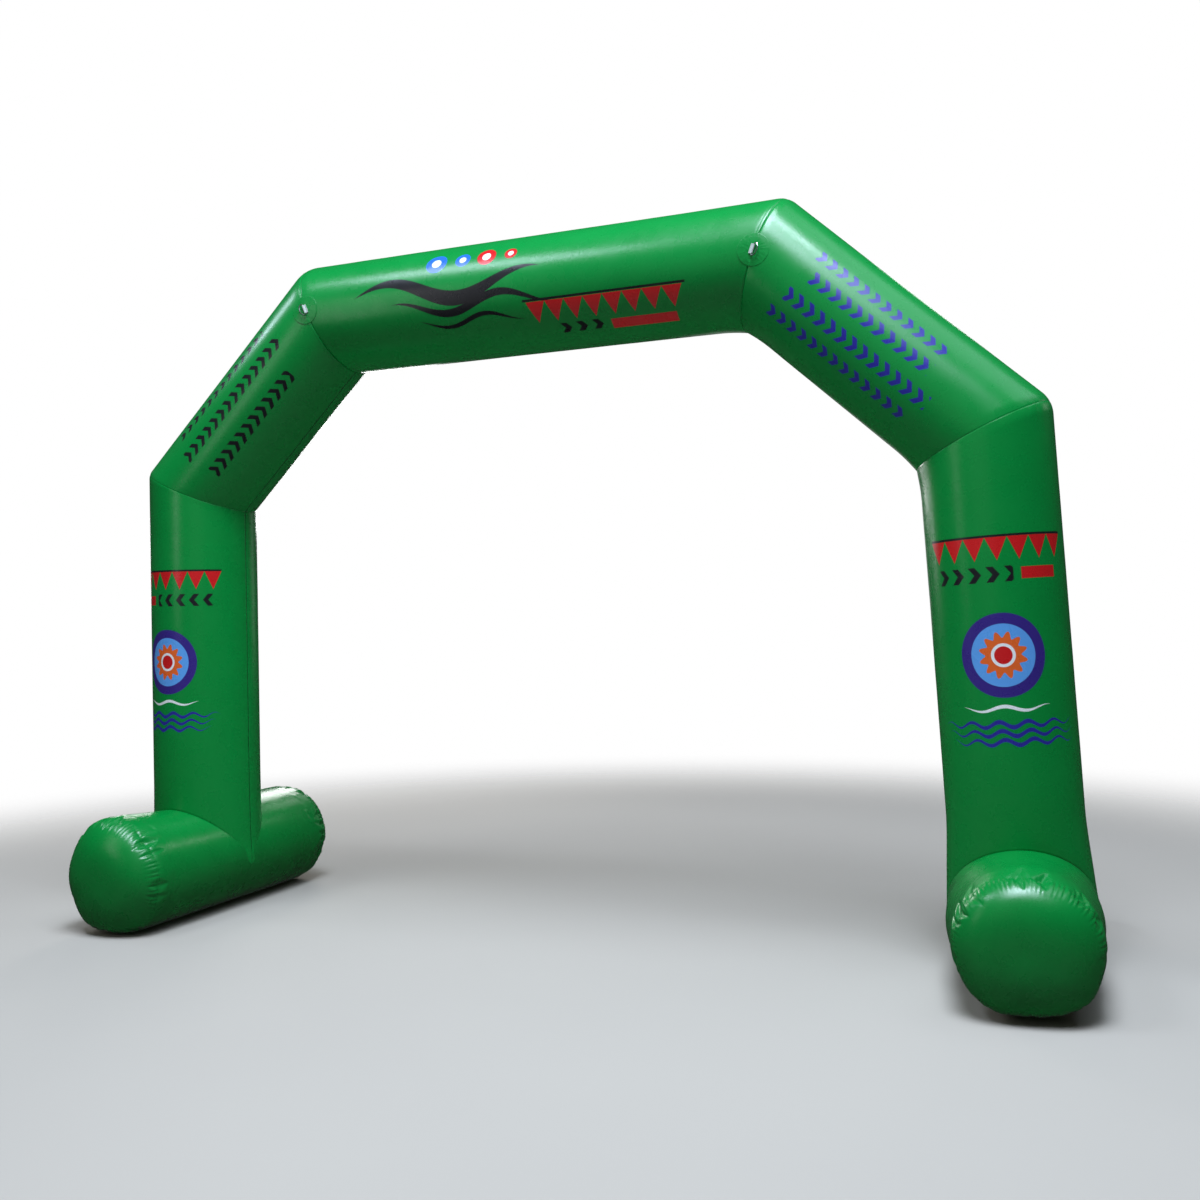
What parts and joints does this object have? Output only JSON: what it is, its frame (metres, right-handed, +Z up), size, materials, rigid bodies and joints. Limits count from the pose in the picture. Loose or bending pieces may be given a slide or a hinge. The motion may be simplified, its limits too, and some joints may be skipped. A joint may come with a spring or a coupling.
{
  "type": "inflatable event arch",
  "caption": "Free-standing inflatable arch of mitred round air tubes in green coated fabric, on two cross feet with gathered end caps and ring anchors at the crown seams.",
  "frame": {"origin": "middle of the bounding box, on the floor", "axes": "+X along the top beam to the right foot, +Y from the front to the back, +Z up"},
  "size_m": [6.088, 1.987, 4.24],
  "materials": {
    "green_skin": "glossy coated polyester",
    "white_webbing": "woven webbing",
    "ring_steel": "polished steel"
  },
  "bodies": {
    "root": {"leg_left": "green_skin", "leg_right": "green_skin", "shoulder_left": "green_skin", "shoulder_right": "green_skin", "beam": "green_skin", "foot_left": "green_skin", "foot_right": "green_skin", "cap_left_front": "green_skin", "cap_left_rear": "green_skin", "cap_right_front": "green_skin", "cap_right_rear": "green_skin", "anchor_patch_left": "green_skin", "anchor_patch_right": "green_skin", "anchor_strap_left": "white_webbing", "anchor_strap_right": "white_webbing", "anchor_ring_left": "ring_steel", "anchor_ring_right": "ring_steel"}
  },
  "joints": []
}
